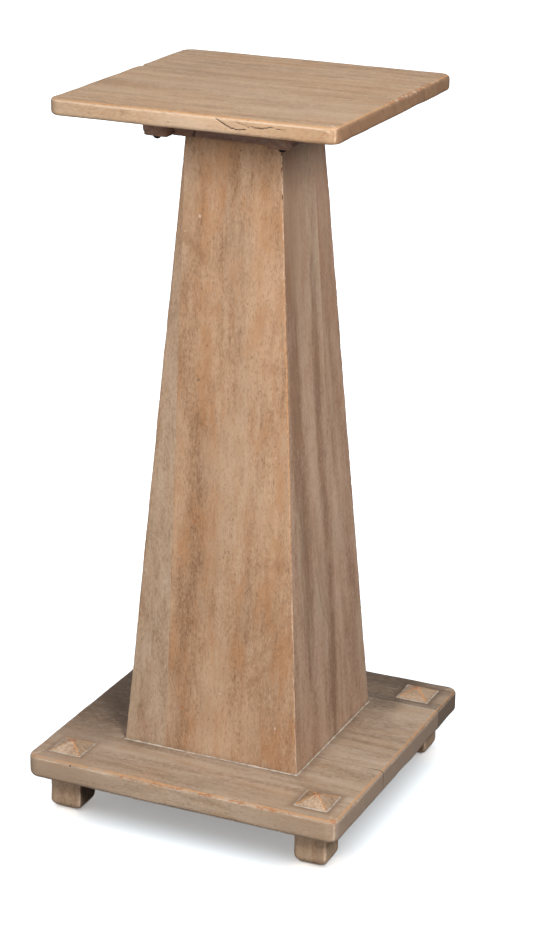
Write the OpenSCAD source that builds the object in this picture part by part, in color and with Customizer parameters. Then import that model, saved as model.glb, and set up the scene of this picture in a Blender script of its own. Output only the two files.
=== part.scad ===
// Square tapered column pedestal: a top board on a hollow tapered column of mitred boards,
// a base board, and four posts that pass through the base and stand it off the floor.
// Millimetres, +Z up. The origin is on the floor, under the middle of the column.
// The front faces -Y and the right side faces +X. The grain of both boards runs along X.

/* [Overall] */
// Height from the floor to the top face
total_h = 762; // [600:1:1000]

/* [Top board] */
// Side of the square top board
top_side = 304.8; // [240:0.1:400]
// Thickness of the top board
top_t = 17; // [14:0.5:30]
// Radius of its corners, seen from above
top_corner_r = 10; // [5:0.5:20]
// Roundover of its upper and lower edges
top_edge_r = 3.5; // [1:0.25:4.5]
// How far behind the middle its glue line lies
top_seam_y = 76; // [-60:1:80]

/* [Cleats] */
// Depth of the cleats below the top board
cleat_t = 24; // [14:0.5:40]
// Width of the two long cleats
cleat_w = 29; // [20:0.5:35]
// Length of the two long cleats
cleat_len = 188; // [170:1:230]
// Width of the two short cleats between them
cross_cleat_w = 26.5; // [14:0.5:30]
// Radius of the long cleats' corners, seen from above
cleat_corner_r = 9; // [2:0.5:9.5]
// Roundover of the lower edges along the long cleats
cleat_side_toe_r = 7; // [1:0.5:9]
// Roundover of the lower edges at the long cleats' ends
cleat_end_toe_r = 5; // [1:0.5:9]
// Eased lower edges of the short cleats
cross_cleat_toe_r = 2; // [0.5:0.5:4]
// Gap between the cleats' lower inner edges and the column
cleat_gap = 0.3; // [0.1:0.1:1]

/* [Cleat screws] */
// Diameter of the screw shank
screw_d = 4.2; // [3:0.1:6]
// Diameter of the screw head
screw_head_d = 9; // [7:0.5:12]
// Height of the domed screw head
screw_head_h = 3.5; // [2:0.25:4]
// How far the screw bites into the top board
screw_bite = 10; // [6:0.5:11]
// Distance of each screw from the end of its cleat
screw_end_gap = 10; // [10:0.5:25]
// Gap round the shank in its hole
screw_gap = 0.15; // [0.05:0.05:0.4]

/* [Column] */
// Width of the column where it stands on the base
col_foot_w = 200; // [150:1:240]
// Width of the column under the top board
col_head_w = 101; // [85:1:125]
// Thickness of the column's boards, measured level
col_wall = 20; // [12:0.5:28]
// Width taken off the outer corners of the column
col_arris = 1; // [0.25:0.25:3]
// Place of the upright glue line on the front, from the middle (negative is left)
front_seam_x = -52; // [-85:1:40]
// Place of the upright glue line on the right side, from the middle
right_seam_y = 24; // [-40:1:40]

/* [Base board] */
// Side of the square base board
base_side = 355.6; // [320:0.1:450]
// Thickness of the base board
base_t = 26.5; // [18:0.5:40]
// Radius of its corners, seen from above
base_corner_r = 10; // [7:0.5:18]
// Roundover of its upper and lower edges
base_edge_r = 4.5; // [1:0.25:6]
// Place of its front glue line, from the middle
base_front_seam_y = -50; // [-90:1:0]
// Place of its rear glue line, from the middle
base_rear_seam_y = 112; // [20:1:115]

/* [Feet] */
// Height of the feet below the base board
foot_h = 40; // [20:0.5:80]
// Side of each square foot
foot_side = 36.8; // [28:0.1:46]
// Distance from the base's edges to the feet
foot_inset = 18; // [12:0.5:26]
// Rounded upright edges of the feet
foot_corner_r = 4.5; // [1:0.5:8]
// Rounded lower edges of the feet
foot_toe_r = 8; // [2:0.5:10]
// Shoulder all round, where the foot narrows to the tenon in the base
tenon_shoulder = 0.8; // [0.5:0.1:3]
// Gap all round the tenon in its mortice
tenon_gap = 0.3; // [0.1:0.1:0.7]
// How far the tenon stands above the base before it slopes in
peg_stand = 0.5; // [0.25:0.25:6]
// Height of the low pyramid on the tenon's end
peg_h = 8; // [3:0.5:15]
// Side of the worn flat at the pyramid's tip
peg_tip = 4; // [1:0.5:8]

/* [Hidden] */
$fn = 48;

// levels
base_top = foot_h + base_t;
top_under = total_h - top_t;
cleat_under = top_under - cleat_t;

// half the column's width at a height, on its straight taper
taper = (col_foot_w - col_head_w) / (top_under - base_top);
function col_half(z) = (col_foot_w - taper * (z - base_top)) / 2;

// the inner face of every cleat just clears the column at the cleat's lower edge
cleat_inner = col_half(cleat_under) + cleat_gap;
cleat_mid = cleat_inner + cleat_w / 2;
cross_mid = cleat_inner + cross_cleat_w / 2;
screw_y = cleat_len / 2 - screw_end_gap;

foot_mid = base_side / 2 - foot_inset - foot_side / 2;
tenon_side = foot_side - 2 * tenon_shoulder;
mortice_side = tenon_side + 2 * tenon_gap;

// extra reach of a cutting solid past what it cuts
reach = 5;

wood = "#b08f72";
wood_grey = "#9c8470";
wood_dark = "#5e4436";
steel_black = "#23201f";

// Section through a board from an inner line out to its rounded edge.
module rim_section(depth, thick, edge_r) {
    square([depth - edge_r, thick]);
    translate([0, edge_r])
        square([depth, thick - 2 * edge_r]);
    for (level = [edge_r, thick - edge_r])
        translate([depth - edge_r, level])
            circle(edge_r);
}

// Square board with rounded corners, and the same roundover all along its edges.
// It is a plain middle, four edge strips and four quarter-turned corners.
module rounded_board(side, thick, corner_r, edge_r) {
    middle = side / 2 - corner_r;
    translate([-middle, -middle, 0])
        cube([2 * middle, 2 * middle, thick]);
    for (turn = [0 : 90 : 270])
        rotate(turn)
            translate([middle, middle, 0]) {
                rotate([90, 0, 0])
                    linear_extrude(2 * middle)
                        rim_section(corner_r, thick, edge_r);
                rotate_extrude(angle = 90)
                    rim_section(corner_r, thick, edge_r);
            }
}

// The part of a board between two glue lines that run along X.
module plank(side, thick, corner_r, edge_r, y_from, y_to) {
    intersection() {
        rounded_board(side, thick, corner_r, edge_r);
        translate([-side / 2 - reach, y_from, -reach])
            cube([side + 2 * reach, y_to - y_from, thick + 2 * reach]);
    }
}

// Upright face of a block, as wide as it is, with its two lower corners rounded.
module toed_face(width, height, toe_r) {
    translate([-width / 2, toe_r])
        square([width, height - toe_r]);
    translate([toe_r - width / 2, 0])
        square([width - 2 * toe_r, height]);
    for (side = [-1, 1])
        translate([side * (width / 2 - toe_r), toe_r])
            circle(toe_r);
}

// Rectangle with rounded corners, centred.
module rounded_plan(x, y, corner_r) {
    square([x - 2 * corner_r, y], center = true);
    square([x, y - 2 * corner_r], center = true);
    for (sx = [-1, 1], sy = [-1, 1])
        translate([sx * (x / 2 - corner_r), sy * (y / 2 - corner_r)])
            circle(corner_r);
}

// Block that stands on z = 0, with rounded upright edges and rounded lower edges.
// toe_x rounds the lower edges on its X sides, toe_y those on its Y sides.
module eased_block(x, y, z, corner_r, toe_x, toe_y) {
    intersection() {
        linear_extrude(z)
            rounded_plan(x, y, corner_r);
        translate([0, y / 2 + reach, 0])
            rotate([90, 0, 0])
                linear_extrude(y + 2 * reach)
                    toed_face(x, z, toe_x);
        translate([-x / 2 - reach, 0, 0])
            rotate([90, 0, 90])
                linear_extrude(x + 2 * reach)
                    toed_face(y, z, toe_y);
    }
}

// Screw holes at all four screw places, from a level upward.
module screw_holes(from_z, height) {
    for (sx = [-1, 1], sy = [-1, 1])
        translate([sx * cleat_mid, sy * screw_y, from_z])
            cylinder(h = height, d = screw_d + 2 * screw_gap);
}

module top_plank(y_from, y_to) {
    color(wood)
        difference() {
            translate([0, 0, top_under])
                plank(top_side, top_t, top_corner_r, top_edge_r, y_from, y_to);
            screw_holes(top_under - reach, screw_bite + screw_gap + reach);
        }
}

module long_cleat(side) {
    color(wood_dark)
        difference() {
            translate([side * cleat_mid, 0, cleat_under])
                eased_block(cleat_w, cleat_len, cleat_t,
                    cleat_corner_r, cleat_side_toe_r, cleat_end_toe_r);
            screw_holes(cleat_under - reach, cleat_t + 2 * reach);
        }
}

// Short cleat between the long ones, against the front or the rear of the column.
module cross_cleat(side) {
    color(wood_dark)
        translate([0, side * cross_mid, cleat_under])
            rotate([90, 0, 90])
                translate([0, 0, -cleat_inner])
                    linear_extrude(2 * cleat_inner)
                        toed_face(cross_cleat_w, cleat_t, cross_cleat_toe_r);
}

// Screw driven up through a cleat: a domed head under it and a plain shank.
module cleat_screw(sx, sy) {
    head_r = screw_head_d / 2;
    dome_r = (head_r * head_r + screw_head_h * screw_head_h) / (2 * screw_head_h);
    color(steel_black)
        translate([sx * cleat_mid, sy * screw_y, cleat_under]) {
            cylinder(h = cleat_t + screw_bite, d = screw_d);
            intersection() {
                translate([0, 0, dome_r - screw_head_h])
                    sphere(dome_r);
                translate([0, 0, -screw_head_h - reach])
                    cylinder(h = screw_head_h + reach, d = screw_head_d + reach);
            }
        }
}

// One side of the column, drawn facing -Y: a leaning slab between its two mitres.
module column_side() {
    height = top_under - base_top;
    foot = col_foot_w / 2;
    head = col_head_w / 2;
    // distance of the cut corners from the middle, along the diagonals
    foot_cut = foot * sqrt(2) - col_arris / 2;
    head_cut = head * sqrt(2) - col_arris / 2;
    translate([0, 0, base_top])
        intersection() {
            rotate([90, 0, 90])
                linear_extrude(2 * col_foot_w, center = true)
                    polygon([[-foot, 0], [col_wall - foot, 0], [col_wall - head, height], [-head, height]]);
            linear_extrude(height)
                polygon([[0, 0], [-col_foot_w, -col_foot_w], [col_foot_w, -col_foot_w]]);
            for (turn = [-45, 45])
                rotate(turn)
                    rotate([90, 0, 90])
                        linear_extrude(4 * col_foot_w, center = true)
                            polygon([[-foot_cut, 0], [col_foot_w, 0], [col_foot_w, height], [-head_cut, height]]);
        }
}

// The part of a side between two upright glue lines, turned to face its way.
module column_board(turn, x_from, x_to) {
    color(turn == 0 ? wood : wood_grey)
        rotate(turn)
            intersection() {
                column_side();
                translate([x_from, -col_foot_w, 0])
                    cube([x_to - x_from, col_foot_w, total_h]);
            }
}

module base_plank(y_from, y_to) {
    color(wood)
        difference() {
            translate([0, 0, foot_h])
                plank(base_side, base_t, base_corner_r, base_edge_r, y_from, y_to);
            for (sx = [-1, 1], sy = [-1, 1])
                translate([sx * foot_mid, sy * foot_mid, foot_h + base_t / 2])
                    cube([mortice_side, mortice_side, base_t + 2 * reach], center = true);
        }
}

// Slope of the pyramid seen from one side, extruded across the tenon.
module peg_slope() {
    rotate([90, 0, 0])
        linear_extrude(tenon_side, center = true)
            polygon([
                [-tenon_side / 2, 0], [tenon_side / 2, 0],
                [peg_tip / 2, peg_h], [-peg_tip / 2, peg_h]
            ]);
}

// Square post: the foot, its tenon through the base, and the low pyramid on top.
module foot(sx, sy) {
    tenon_top = base_top + peg_stand;
    color(wood_grey)
        translate([sx * foot_mid, sy * foot_mid, 0]) {
            eased_block(foot_side, foot_side, foot_h, foot_corner_r, foot_toe_r, foot_toe_r);
            translate([-tenon_side / 2, -tenon_side / 2, foot_h / 2])
                cube([tenon_side, tenon_side, tenon_top - foot_h / 2]);
            translate([0, 0, tenon_top])
                intersection() {
                    peg_slope();
                    rotate(90)
                        peg_slope();
                }
        }
}

top_plank(-top_side / 2, top_seam_y);  // top_plank_front
top_plank(top_seam_y, top_side / 2);  // top_plank_rear
long_cleat(-1);  // cleat_left
long_cleat(1);  // cleat_right
cross_cleat(-1);  // cleat_front
cross_cleat(1);  // cleat_rear
cleat_screw(-1, -1);  // screw_front_left
cleat_screw(1, -1);  // screw_front_right
cleat_screw(1, 1);  // screw_rear_right
cleat_screw(-1, 1);  // screw_rear_left
column_board(0, front_seam_x, col_foot_w);  // column_front_board
column_board(0, -col_foot_w, front_seam_x);  // column_front_strip
column_board(90, -col_foot_w, right_seam_y);  // column_right_board
column_board(90, right_seam_y, col_foot_w);  // column_right_strip
column_board(180, -col_foot_w, col_foot_w);  // column_rear_board
column_board(270, -col_foot_w, col_foot_w);  // column_left_board
base_plank(-base_side / 2, base_front_seam_y);  // base_plank_front
base_plank(base_front_seam_y, base_rear_seam_y);  // base_plank_middle
base_plank(base_rear_seam_y, base_side / 2);  // base_plank_rear
foot(-1, -1);  // foot_front_left
foot(1, -1);  // foot_front_right
foot(1, 1);  // foot_rear_right
foot(-1, 1);  // foot_rear_left
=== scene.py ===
"""Square tapered pedestal of weathered wood, finished piece by piece.

Metres, +Z up, origin on the floor under the column. The front faces -Y and the right side
faces +X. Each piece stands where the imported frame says, and wear only takes wood away from it.
"""
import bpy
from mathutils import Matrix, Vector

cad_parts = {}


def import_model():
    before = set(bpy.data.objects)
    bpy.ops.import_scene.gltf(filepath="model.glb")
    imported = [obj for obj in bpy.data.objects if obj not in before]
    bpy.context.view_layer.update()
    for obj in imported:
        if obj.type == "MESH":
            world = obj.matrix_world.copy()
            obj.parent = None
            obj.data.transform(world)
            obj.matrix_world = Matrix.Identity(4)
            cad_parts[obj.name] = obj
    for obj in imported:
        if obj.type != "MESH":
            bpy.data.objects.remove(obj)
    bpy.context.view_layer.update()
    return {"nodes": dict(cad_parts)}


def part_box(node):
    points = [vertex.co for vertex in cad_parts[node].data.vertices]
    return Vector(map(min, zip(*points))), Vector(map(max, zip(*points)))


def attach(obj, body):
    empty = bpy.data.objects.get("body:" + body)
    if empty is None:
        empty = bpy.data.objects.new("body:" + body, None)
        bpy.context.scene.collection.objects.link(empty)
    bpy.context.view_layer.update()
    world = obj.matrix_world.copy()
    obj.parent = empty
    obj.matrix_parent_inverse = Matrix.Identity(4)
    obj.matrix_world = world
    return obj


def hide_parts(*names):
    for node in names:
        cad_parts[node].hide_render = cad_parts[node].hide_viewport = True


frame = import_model()

import zlib
from math import ceil, cos, pi, radians, sin

import bmesh
import bpy
import numpy as np
from bpy.props import FloatProperty, FloatVectorProperty, PointerProperty
from mathutils import Matrix, Vector

bl_info = {
    "name": "Tapered Pedestal",
    "version": (1, 0, 0),
    "blender": (4, 5, 0),
    "location": "View3D > Sidebar > Pedestal",
    "description": "Builds the boards, posts and finish of a square tapered wooden pedestal",
    "category": "Object",
}

MM = 0.001
BODY = "root"

# ---------------------------------------------------------------- places from the frame

TOP_LOW, TOP_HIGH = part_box("top_plank_front")
TOP_HALF = TOP_HIGH.x
TOP_SEAM = TOP_HIGH.y
BASE_LOW, BASE_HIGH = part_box("base_plank_front")
BASE_HALF = BASE_HIGH.x
BASE_SEAMS = (BASE_HIGH.y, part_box("base_plank_middle")[1].y)
COLUMN_LOW, COLUMN_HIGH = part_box("column_rear_board")
FOOT_HALF = COLUMN_HIGH.y
FRONT_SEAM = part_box("column_front_strip")[1].x
RIGHT_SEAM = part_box("column_right_strip")[0].y
POST_LOW, POST_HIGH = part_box("foot_front_right")
POST_HALF = (POST_HIGH.x - POST_LOW.x) / 2
POST_MIDDLE = (POST_HIGH.x + POST_LOW.x) / 2


def head_half_width():
    """Half the column's width at its head: the furthest reach of the rear board's top end."""
    vertices = frame["nodes"]["column_rear_board"].data.vertices
    flat = np.empty(3 * len(vertices))
    vertices.foreach_get("co", flat)
    points = flat.reshape(-1, 3)
    return points[points[:, 2] > COLUMN_HIGH.z - MM, 1].max()


HEAD_HALF = head_half_width()
TAPER = (FOOT_HALF - HEAD_HALF) / (COLUMN_HIGH.z - COLUMN_LOW.z)
TENON_SHOULDER = 0.8 * MM
TENON_GAP = 0.3 * MM
TENON_STAND = 0.5 * MM
TIP_HALF = 2 * MM
COLUMN_WALL = 20 * MM
CORNERS = {"front_left": (-1, -1), "front_right": (1, -1),
           "rear_right": (1, 1), "rear_left": (-1, 1)}

# Places nearer than SLACK are the same. A face looks along an axis when its unit normal
# reaches further than SQUARE_ON that way.
SLACK = MM / 100
SQUARE_ON = 0.7


def column_half(z):
    """Half the column's width at a height, on its straight taper."""
    return FOOT_HALF - TAPER * (z - COLUMN_LOW.z)


# ---------------------------------------------------------------- what a user may change

def length(name, description, default, low, high):
    """A length setting; its default and range are given in millimetres."""
    return FloatProperty(name=name, description=description, default=default * MM,
                         min=low * MM, max=high * MM, unit="LENGTH", precision=5)


def paint(name, description, default):
    """A colour setting."""
    return FloatVectorProperty(name=name, description=description, default=default,
                               subtype="COLOR", size=3, min=0, max=1)


class PedestalSizes(bpy.types.PropertyGroup):
    """Radii, wear and joint lines; the boards' own sizes come from the frame."""

    top_corner: length("Top corner", "Radius of the top board's corners seen from above", 13, 5, 20)
    top_edge: length("Top edge", "Roundover of the top board's edges", 4, 1, 4.5)
    base_corner: length("Base corner", "Radius of the base board's corners seen from above",
                        13, 9, 18)
    base_edge: length("Base edge", "Roundover of the base board's edges", 4.5, 1, 6)
    arris: length("Column arris", "Radius of the column's worn upright corners", 1.7, 1.2, 4)
    post_corner: length("Foot corner", "Radius of the upright edges of the feet", 4.5, 1, 8)
    post_toe: length("Foot toe", "Radius of the lower edges of the feet", 10, 2, 12)
    wear: length("Wear", "How much wood the wear takes off an edge", 0.5, 0, 1.5)
    seam: length("Seam", "Depth of the fine groove along each glue line", 0.35, 0, 1)
    filler: length("Filler", "Width of the filler line round the column's foot", 1.1, 0.5, 4)


class PedestalColours(bpy.types.PropertyGroup):
    """Main colour of each wood and of the worn places."""

    top: paint("Top", "Top board", (0.472, 0.308, 0.186))
    front: paint("Column front", "Wide board of the column's front", (0.43, 0.264, 0.16))
    strip: paint("Front strip", "Narrow board of the column's front", (0.40, 0.275, 0.185))
    side: paint("Column sides", "Boards of the column's other sides", (0.43, 0.282, 0.196))
    base: paint("Base", "Base board", (0.465, 0.35, 0.258))
    post: paint("Feet", "Feet and their pyramid heads", (0.385, 0.264, 0.177))
    cleat: paint("Cleats", "Dark cleats under the top", (0.28, 0.17, 0.127))
    wash: paint("Grey wash", "Thin grey wash over the wood", (0.47, 0.35, 0.25))
    # Pale wood, also painting highlights on upper edges and light on the top's front and heads'
    # fronts.
    cream: paint("Pale edge", "Bare pale wood along worn edges", (0.68, 0.51, 0.37))
    gold: paint("Golden edge", "Orange wood laid bare along the top of an edge",
                (0.57, 0.28, 0.11))
    rust: paint("Rust stain", "Red-brown stain in nicks", (0.38, 0.155, 0.07))
    # Dirt, and also painted shade in corners, under the boards and behind the column.
    dirt_and_shade: paint("Dirt", "Dark grime in corners and cracks", (0.085, 0.058, 0.04))
    filler: paint("Filler", "Pale filler in the joints", (0.52, 0.44, 0.36))
    screw: paint("Screws", "Black screw heads", (0.02, 0.018, 0.017))


# ---------------------------------------------------------------- numpy tools

WAVES = 14


def seed_of(name):
    """A fixed random seed for a name."""
    return zlib.crc32(name.encode())


def bell(distance, width):
    """1 at no distance and near 0 past two widths: exp(-(distance / width) squared)."""
    return np.exp(-(distance / width) ** 2)


def ramp(value, start, run):
    """0 up to the start, then an even climb to 1 over the run."""
    return np.clip((value - start) / run, 0, 1)


def ripple(points, size, seed, stretch=(1, 1, 1)):
    """Smooth random height with a mean of 0 and a spread of about 1.

    The sum of WAVES sine waves with random directions, phases and lengths near the given
    size, divided by the root of half their number.
    """
    rng = np.random.default_rng(seed)
    ways = rng.normal(size=(WAVES, 3))
    ways /= np.linalg.norm(ways, axis=1, keepdims=True)
    rates = 2 * pi / (size * rng.uniform(0.6, 1.6, WAVES))
    phases = rng.uniform(0, 2 * pi, WAVES)
    angles = (points / np.array(stretch)) @ (ways * rates[:, None]).T + phases
    return np.sin(angles).sum(1) / np.sqrt(WAVES / 2)


def dents(points, places, radii, depths):
    """Depth of round dents: depth times (1 - (distance / radius) squared) squared in each."""
    sunk = np.zeros(len(points))
    for place, radius, depth in zip(places, radii, depths):
        away = ((points - place) ** 2).sum(1) / radius ** 2
        sunk = np.maximum(sunk, depth * np.clip(1 - away, 0, 1) ** 2)
    return sunk


def groove(points, path, width):
    """1 on a broken line and 0 away from it: exp(-(distance / width) squared)."""
    nearest = np.full(len(points), np.inf)
    path = np.array(path)
    for start, end in zip(path, path[1:]):
        run = end - start
        share = np.clip((points - start) @ run / (run @ run), 0, 1)
        gap = ((points - start - share[:, None] * run) ** 2).sum(1)
        nearest = np.minimum(nearest, gap)
    return np.exp(-nearest / width ** 2)


def places_along(*stops):
    """Places on a line from (place, step) stops: each stretch is cut evenly, in steps no wider."""
    runs = []
    for (start, step), (end, _) in zip(stops, stops[1:]):
        count = max(1, ceil((end - start) / step - 1e-6))
        runs.append(np.linspace(start, end, count, endpoint=False))
    return np.append(np.concatenate(runs), stops[-1][0])


def quads_of(ids):
    """Quads of a grid of point numbers; they face along (first axis) x (second axis)."""
    corners = (ids[:-1, :-1], ids[1:, :-1], ids[1:, 1:], ids[:-1, 1:])
    return np.stack(corners, -1).reshape(-1, 4)


def block_skin(xs, ys, zs, openings=()):
    """Closed skin of a block, with square openings right through it along Z.

    Six flat grids, one to a face: each holds one coordinate at its lowest or highest place
    and runs over the other two. An opening leaves cells out of the two level grids, and its
    four walls are grids between them. Grids share the points along their common edges.
    """
    ids = np.arange(len(xs) * len(ys) * len(zs)).reshape(len(xs), len(ys), len(zs))
    level = np.ones((len(xs) - 1, len(ys) - 1), bool)
    sheets = [
        quads_of(ids[-1, :, :]), quads_of(ids[0, :, :])[:, ::-1],
        quads_of(ids[:, 0, :]), quads_of(ids[:, -1, :])[:, ::-1],
    ]
    for x_low, x_high, y_low, y_high in openings:
        a, b = np.searchsorted(xs, (x_low - SLACK, x_high - SLACK))
        c, d = np.searchsorted(ys, (y_low - SLACK, y_high - SLACK))
        level[a:b, c:d] = False
        sheets += [
            quads_of(ids[a, c:d + 1, :]), quads_of(ids[b, c:d + 1, :])[:, ::-1],
            quads_of(ids[a:b + 1, c, :])[:, ::-1], quads_of(ids[a:b + 1, d, :]),
        ]
    sheets.append(quads_of(ids[:, :, -1])[level.ravel()])
    sheets.append(quads_of(ids[:, :, 0])[level.ravel()][:, ::-1])
    used, quads = np.unique(np.concatenate(sheets), return_inverse=True)
    i, j, k = np.unravel_index(used, ids.shape)
    return np.stack((xs[i], ys[j], zs[k]), 1), quads.reshape(-1, 4)


def loft(rings):
    """Skin through rings of points laid one above another, each counter-clockwise from above.

    Point i of ring j is joined to point i of ring j + 1. The two ends are closed by caps.
    """
    levels, count, _ = rings.shape
    ids = np.arange(levels * count).reshape(levels, count)
    around = np.hstack((ids, ids[:, :1])).T
    caps = [ids[0, ::-1].tolist(), ids[-1].tolist()]
    return rings.reshape(-1, 3), quads_of(around), caps


def outward(points, quads):
    """Unit normal at each point: the sum of the normals of the quads round it."""
    a, b, c, d = (points[quads[:, i]] for i in range(4))
    facing = np.cross(c - a, d - b)
    total = np.zeros_like(points)
    for corner in range(4):
        for axis in range(3):
            total[:, axis] += np.bincount(quads[:, corner], facing[:, axis], len(points))
    return total / np.maximum(np.linalg.norm(total, axis=1, keepdims=True), 1e-12)


def to_disc(a, b):
    """Turns a square corner round: a point keeps its greater reach from the corner's middle."""
    reach = np.maximum(a, b)
    share = np.where((a > 0) & (b > 0), reach / np.maximum(np.hypot(a, b), 1e-12), 1)
    return a * share, b * share


def rounded_plan(x, y, half_x, half_y, radius):
    """Carries a rectangle onto one with rounded corners, round the origin.

    Also gives how far out of the rectangle's inner part each point lies, along x and y.
    """
    inner_x, inner_y = half_x - radius, half_y - radius
    out_x, out_y = to_disc(np.maximum(abs(x) - inner_x, 0), np.maximum(abs(y) - inner_y, 0))
    new_x = np.sign(x) * (np.minimum(abs(x), inner_x) + out_x)
    new_y = np.sign(y) * (np.minimum(abs(y), inner_y) + out_y)
    return new_x, new_y, out_x, out_y


def eased_board(points, half, low, high, corner, edge):
    """Rounds a square board: its corners in plan, then a roundover all along both edges.

    In plan a point's reach past the inner square is kept and turned round. Then that reach
    and the reach past the inner levels are turned round together, by the edge radius, which
    may differ from point to point. Returns the points and each one's turn along its
    roundover: 0 where it leaves the flat face, 1 where it meets the side, -1 elsewhere.
    """
    x, y, z = points.T
    x, y, out_x, out_y = rounded_plan(x, y, half, half, corner)
    reach = np.hypot(out_x, out_y)
    middle = (low + high) / 2
    over = np.maximum(reach - (corner - edge), 0)
    rise = np.maximum(abs(z - middle) - ((high - low) / 2 - edge), 0)
    new_over, new_rise = to_disc(over, rise)
    pull = (new_over - over) / np.maximum(reach, 1e-12)
    x = x + np.sign(x) * out_x * pull
    y = y + np.sign(y) * out_y * pull
    z = z + np.sign(z - middle) * (new_rise - rise)
    round_over = (over > 0) & (rise > 0)
    turn = np.where(round_over, over / np.maximum(over + rise, 1e-12), -1)
    return np.stack((x, y, z), 1), turn


def ridge_of(turn):
    """1 in the middle of a roundover, falling evenly to 0 at both its ends."""
    return np.clip(1 - abs(2 * turn - 1), 0, 1)


# ---------------------------------------------------------------- pieces

# Edges turned further than SHARP are shaded sharp, and points nearer than MERGE become one.
SHARP = radians(42)
MERGE = MM / 1000
# Some marks paint shade and light: shade in corners and under parts, highlights on edges and
# fronts.
MARKS = ("grime", "stain", "bleach", "crack", "pale", "rust", "gold", "cream")


def piece(name, points, faces, finish, slot, node=None, **marks):
    """Makes a piece of the skin and hands it to the frame.

    Doubled points are merged, it is shaded smooth between sharp edges, and each mark is
    stored as a value at every point.
    """
    mesh = bpy.data.meshes.new(name)
    mesh.from_pydata(points.tolist(), [], faces)
    for mark, amount in marks.items():
        layer = mesh.attributes.new(mark, "FLOAT", "POINT")
        layer.data.foreach_set("value", np.clip(amount, 0, 1).astype(np.float32))
    shape = bmesh.new()
    shape.from_mesh(mesh)
    bmesh.ops.remove_doubles(shape, verts=shape.verts, dist=MERGE)
    shape.to_mesh(mesh)
    shape.free()
    mesh.polygons.foreach_set("use_smooth", np.ones(len(mesh.polygons), bool))
    mesh.set_sharp_from_angle(angle=SHARP)
    mesh.materials.append(finish)
    made = bpy.data.objects.new(name, mesh)
    bpy.context.scene.collection.objects.link(made)
    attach(made, BODY)
    if node:
        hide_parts(node)


# Middle and width of the golden and the pale line on a roundover, as shares of its turn.
GOLD_LINE = (0.34, 0.15)
# The pale line is partly worn wood and partly a painted highlight.
PALE_AND_HIGHLIGHT_LINE = (0.68, 0.16)
CORNER_LINE = 3 * MM
WANDER_SIZE = 5 * MM


class Wear:
    """The wear of one skin: at each point, the depth of wood gone and each mark's strength.

    Wood goes against `facing`, the normal unless another way out is given. `arris` is 1 on
    an edge and 0 on the flat. Marks are cut off at 0 and 1 when the piece is made.
    """

    def __init__(self, points, quads, arris, facing=None):
        self.points = points
        self.quads = quads
        self.arris = arris
        self.facing = outward(points, quads) if facing is None else facing
        self.depth = np.zeros(len(points))
        self.marks = {name: np.zeros(len(points)) for name in MARKS}

    def find_ends(self, axis):
        """Marks end grain: where a face looks along the grain."""
        self.marks["end"] = ramp(abs(self.facing[:, axis]), 0.5, 0.4)

    def add(self, mark, amount):
        """Raises a mark to a new amount where that is greater."""
        self.marks[mark] = np.maximum(self.marks[mark], amount)

    def soften(self, depth, size, seed, stretch=(1, 1, 1)):
        """Slightly uneven faces, never proud of the flat."""
        height = ripple(self.points, size, seed, stretch)
        self.depth += depth * np.clip(0.5 + height / 4, 0, 1)

    def rub(self, depth, size, seed):
        """Takes wood off the arris, unevenly along it."""
        bite = np.clip(0.5 + ripple(self.points, size, seed) / 2, 0, 1.5)
        self.depth += depth * self.arris * bite

    def nick(self, count, seed, radius, depth, mark, least=0.5):
        """Small dents at random points of the arris, coloured by a mark."""
        rng = np.random.default_rng(seed)
        spots = np.flatnonzero(self.arris > least)
        if len(spots) == 0:
            return
        places = self.points[rng.choice(spots, count)]
        radii = rng.uniform(0.5, 1.3, count) * radius
        sunk = dents(self.points, places, radii, rng.uniform(0.3, 1, count) * depth)
        self.depth += sunk
        self.add(mark, sunk / depth)

    def dent(self, place, radius, depth, mark, amount=1.0):
        """One dent at a chosen place; place, radius and depth are in millimetres."""
        sunk = dents(self.points, [np.array(place) * MM], [radius * MM], [1.0])
        self.depth += depth * MM * sunk
        self.add(mark, amount * sunk)

    def split(self, path, width, depth, mark="crack", amount=1.0, wander=0.0, seed=1):
        """A fine crack or streak along a broken line; all its lengths are in millimetres."""
        points = self.points
        if wander:
            shift = [ripple(points, WANDER_SIZE, seed + axis) for axis in range(3)]
            points = points + wander * MM * np.stack(shift, 1)
        near = groove(points, np.array(path) * MM, width * MM)
        self.depth += depth * MM * near
        self.add(mark, amount * near)

    def line_edges(self, turn, middle, pale):
        """Golden wood atop an upper roundover, and pale wood with painted highlight below it.

        Each line is a bell over the turn of the roundover.
        """
        upper = self.points[:, 2] > middle
        for mark, amount, (middle_turn, width) in (("gold", 1, GOLD_LINE),
                                                   ("cream", pale, PALE_AND_HIGHLIGHT_LINE)):
            self.add(mark, amount * upper * bell(turn - middle_turn, width))

    def line_corners(self, half, corner, amount):
        """Pale and golden wood up the rounded corners: a bell over the gap from the diagonal."""
        # The pale line up each corner is partly a painted highlight.
        x, y, _ = abs(self.points).T
        line = amount * bell(x - y, CORNER_LINE) * (np.minimum(x, y) > half - corner)
        self.add("cream", line)
        self.add("gold", 0.7 * line)

    def make(self, name, finish, slot, caps=()):
        """Takes the wood off and makes the piece, in place of the node of the same name."""
        size = np.linalg.norm(self.facing, axis=1, keepdims=True)
        worn = self.points - self.depth[:, None] * self.facing / np.maximum(size, 1e-12)
        piece(name, worn, self.quads.tolist() + list(caps), finish, slot, name, **self.marks)


# ---------------------------------------------------------------- finishes

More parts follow.
